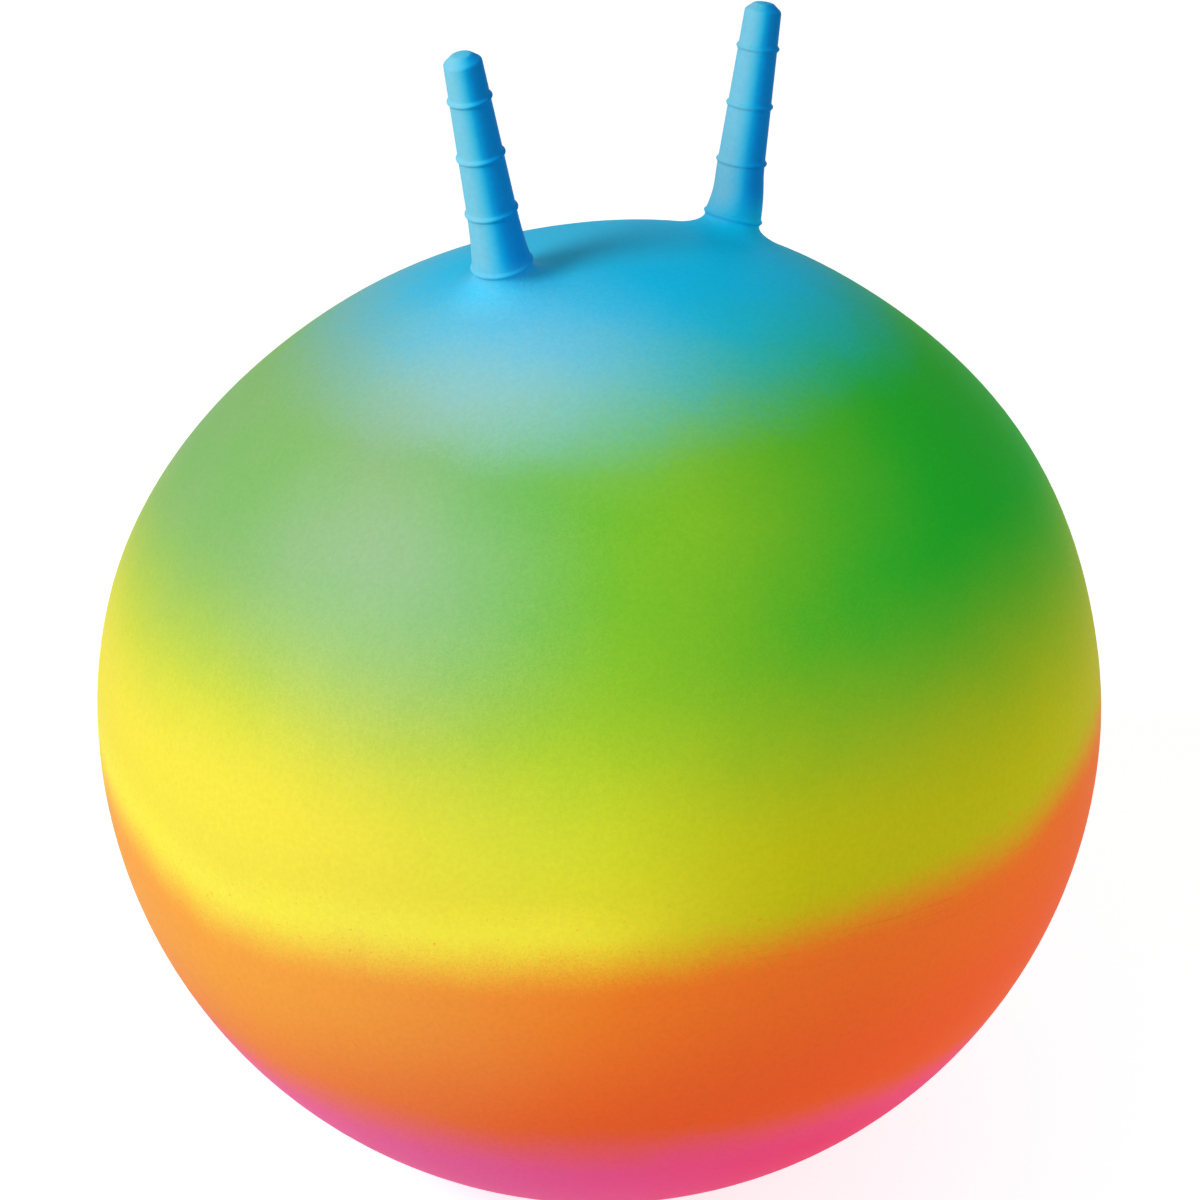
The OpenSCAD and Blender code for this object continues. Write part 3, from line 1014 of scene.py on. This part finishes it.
class HOPPER_OT_valve(bpy.types.Operator):
    """Build the air valve's seat and its push-in plug."""

    bl_idname = "hopper.valve"
    bl_label = "Air Valve"

    def execute(self, context):
        scene = context.scene
        skin, valve = scene.hopper_skin, scene.hopper_valve
        shape = ball_shape()
        place = Matrix.Translation(shape.valve) @ UP.rotation_difference(VALVE_AXIS).to_matrix().to_4x4()
        seat_h = valve.boss_lip - valve.recess_d
        bore_r = valve.stem_r + valve.gap
        draft = (valve.stem_r - valve.stem_end_r) / valve.stem_l
        low_r = bore_r - draft * (seat_h + valve.boss_depth)

        def under_skin(radius, depth):
            reach = shape.side_r - depth
            return math.sqrt(reach ** 2 - radius ** 2) - shape.side_r

        flange_top = under_skin(valve.flange_r, skin.wall)
        flange_low = under_skin(valve.flange_r, skin.wall + valve.flange_t)
        seat = turned(rounded_profile([
            (low_r, -valve.boss_depth), (valve.boss_r, -valve.boss_depth),
            (valve.boss_r, under_skin(valve.boss_r, skin.wall + valve.flange_t)),
            (valve.flange_r, flange_low), (valve.flange_r, flange_top),
            (valve.boss_r, under_skin(valve.boss_r, skin.wall)),
            (valve.boss_r, valve.boss_lip), (valve.head_r + valve.gap, valve.boss_lip),
            (valve.head_r + valve.gap, seat_h), (bore_r, seat_h), (low_r, -valve.boss_depth),
        ], valve.round_r), VALVE_COLUMNS)
        head_h = seat_h + valve.head_t
        plug = turned(rounded_profile([
            (0.0, seat_h - valve.stem_l), (valve.stem_end_r, seat_h - valve.stem_l),
            (valve.stem_r, seat_h), (valve.head_r, seat_h), (valve.head_r, head_h),
            (valve.dimple_r, head_h), (valve.dimple_r * DIMPLE_TAPER, head_h - valve.round_r),
            (0.0, head_h - valve.round_r),
        ], valve.round_r), VALVE_COLUMNS)
        for bm, name, body, node, material in (
                (seat, "valve_collar", "ball", "valve_seat", skin_material(shape)),
                (plug, "air_plug", "valve_plug", "valve_plug", plug_plastic())):
            bmesh.ops.transform(bm, matrix=place, verts=bm.verts[:])
            piece = finish_piece(bm, name, material)
            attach(piece, body)
            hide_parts(node)
        return {"FINISHED"}


def add_lamp(name, kind, stage, middle, turn, rise, drop=0.0):
    """Lamp round the ball, turned from the camera's own heading and aimed below the ball's middle."""
    away = outlook(turn - stage.turn, rise)
    lamp = bpy.data.lights.new(name, kind)
    obj = bpy.data.objects.new(name, lamp)
    bpy.context.scene.collection.objects.link(obj)
    back = (away * stage.key_distance + UP * drop).to_track_quat("Z", "Y")
    obj.matrix_world = Matrix.Translation(middle + away * stage.key_distance) @ back.to_matrix().to_4x4()
    return lamp


def seen_rays(graph):
    """Share of rays that see the backdrop: straight, mirrored or through clear things."""
    path = graph.add("ShaderNodeLightPath")
    seen = graph.math("MAXIMUM", path.outputs["Is Camera Ray"], path.outputs["Is Glossy Ray"])
    return graph.math("MAXIMUM", seen, path.outputs["Is Transmission Ray"])


def floor_material(stage):
    """Pale matt floor that looks white and still shows the ball's shadow."""
    graph = Graph(bpy.data.materials.new("studio_floor"))
    place = graph.add("ShaderNodeTexCoord").outputs["Object"]
    tone = graph.math("ADD", FLOOR_TONE, graph.noise(place, *FLOOR_CLOUD))
    glow = graph.math("MULTIPLY", seen_rays(graph), stage.floor_white)
    graph.surface({
        "Base Color": tone, "Roughness": FLOOR_ROUGHNESS, "Specular IOR Level": FLOOR_SHINE,
        "Emission Color": (1, 1, 1, 1), "Emission Strength": glow,
    })
    return graph.owner


def light_world(stage):
    """World that is white to the camera and gives an even soft light."""
    world = bpy.data.worlds.new("studio")
    graph = Graph(world)
    even = graph.add("ShaderNodeBackground", {"Color": (1, 1, 1, 1), "Strength": stage.ambient})
    white = graph.add("ShaderNodeBackground", {"Color": (1, 1, 1, 1), "Strength": 1.0})
    shaders = {0: seen_rays(graph), 1: even.outputs[0], 2: white.outputs[0]}
    mixed = graph.add("ShaderNodeMixShader", shaders)
    graph.add("ShaderNodeOutputWorld", {"Surface": mixed.outputs[0]})
    bpy.context.scene.world = world


class HOPPER_OT_stage(bpy.types.Operator):
    """Build the floor, the soft lamps and the camera."""

    bl_idname = "hopper.stage"
    bl_label = "Stage"

    def execute(self, context):
        scene = context.scene
        stage = scene.hopper_stage
        middle = ball_shape().middle
        bm = bmesh.new()
        bmesh.ops.create_circle(bm, cap_ends=True, segments=FLOOR_COLUMNS, radius=FLOOR_R)
        floor = finish_piece(bm, "studio_floor", floor_material(stage))
        light_world(stage)
        key = add_lamp("key", "AREA", stage, middle, -stage.key_turn, stage.key_rise)
        key.shape = "DISK"
        key.size = stage.key_size
        key.energy = stage.key_power
        fill = add_lamp("fill", "SPOT", stage, middle, stage.fill_turn, stage.fill_rise, stage.fill_drop)
        fill.shadow_soft_size = stage.fill_size
        fill.spot_size = stage.fill_cone
        fill.spot_blend = 1.0
        fill.energy = stage.fill_power

        camera = bpy.data.cameras.new("camera")
        camera.lens = stage.lens
        camera.sensor_width = SENSOR_WIDTH
        obj = bpy.data.objects.new("camera", camera)
        scene.collection.objects.link(obj)
        obj.matrix_world = camera_place(stage, middle)
        scene.camera = obj
        scene.view_settings.view_transform = "Standard"
        return {"FINISHED"}


class HOPPER_PT_panel(bpy.types.Panel):
    """Settings of the hopper ball and the operators that build it."""

    bl_idname = "HOPPER_PT_panel"
    bl_label = "Hopper Ball"
    bl_space_type = "VIEW_3D"
    bl_region_type = "UI"
    bl_category = "Hopper Ball"

    def draw(self, context):
        for operator in OPERATORS:
            self.layout.operator(operator.bl_idname)
        for name, group in SETTINGS.items():
            box = self.layout.box()
            box.label(text=group.__doc__)
            for field in group.__annotations__:
                box.prop(getattr(context.scene, name), field)


SETTINGS = {
    "hopper_skin": HopperSkinSettings,
    "hopper_horn": HopperHornSettings,
    "hopper_valve": HopperValveSettings,
    "hopper_paint": HopperPaintSettings,
    "hopper_stage": HopperStageSettings,
}
OPERATORS = (HOPPER_OT_skin, HOPPER_OT_horns, HOPPER_OT_valve, HOPPER_OT_stage)
CLASSES = (*SETTINGS.values(), *OPERATORS, HOPPER_PT_panel)


def register():
    """Registers the classes and puts their settings on the scene."""
    for cls in CLASSES:
        bpy.utils.register_class(cls)
    for name, group in SETTINGS.items():
        setattr(bpy.types.Scene, name, PointerProperty(type=group))


def unregister():
    """Takes the settings and classes away again."""
    for name in SETTINGS:
        delattr(bpy.types.Scene, name)
    for cls in reversed(CLASSES):
        bpy.utils.unregister_class(cls)


def main():
    """Builds every piece and the stage."""
    register()
    bpy.ops.hopper.skin()
    bpy.ops.hopper.horns()
    bpy.ops.hopper.valve()
    bpy.ops.hopper.stage()


if __name__ == "__main__":
    main()
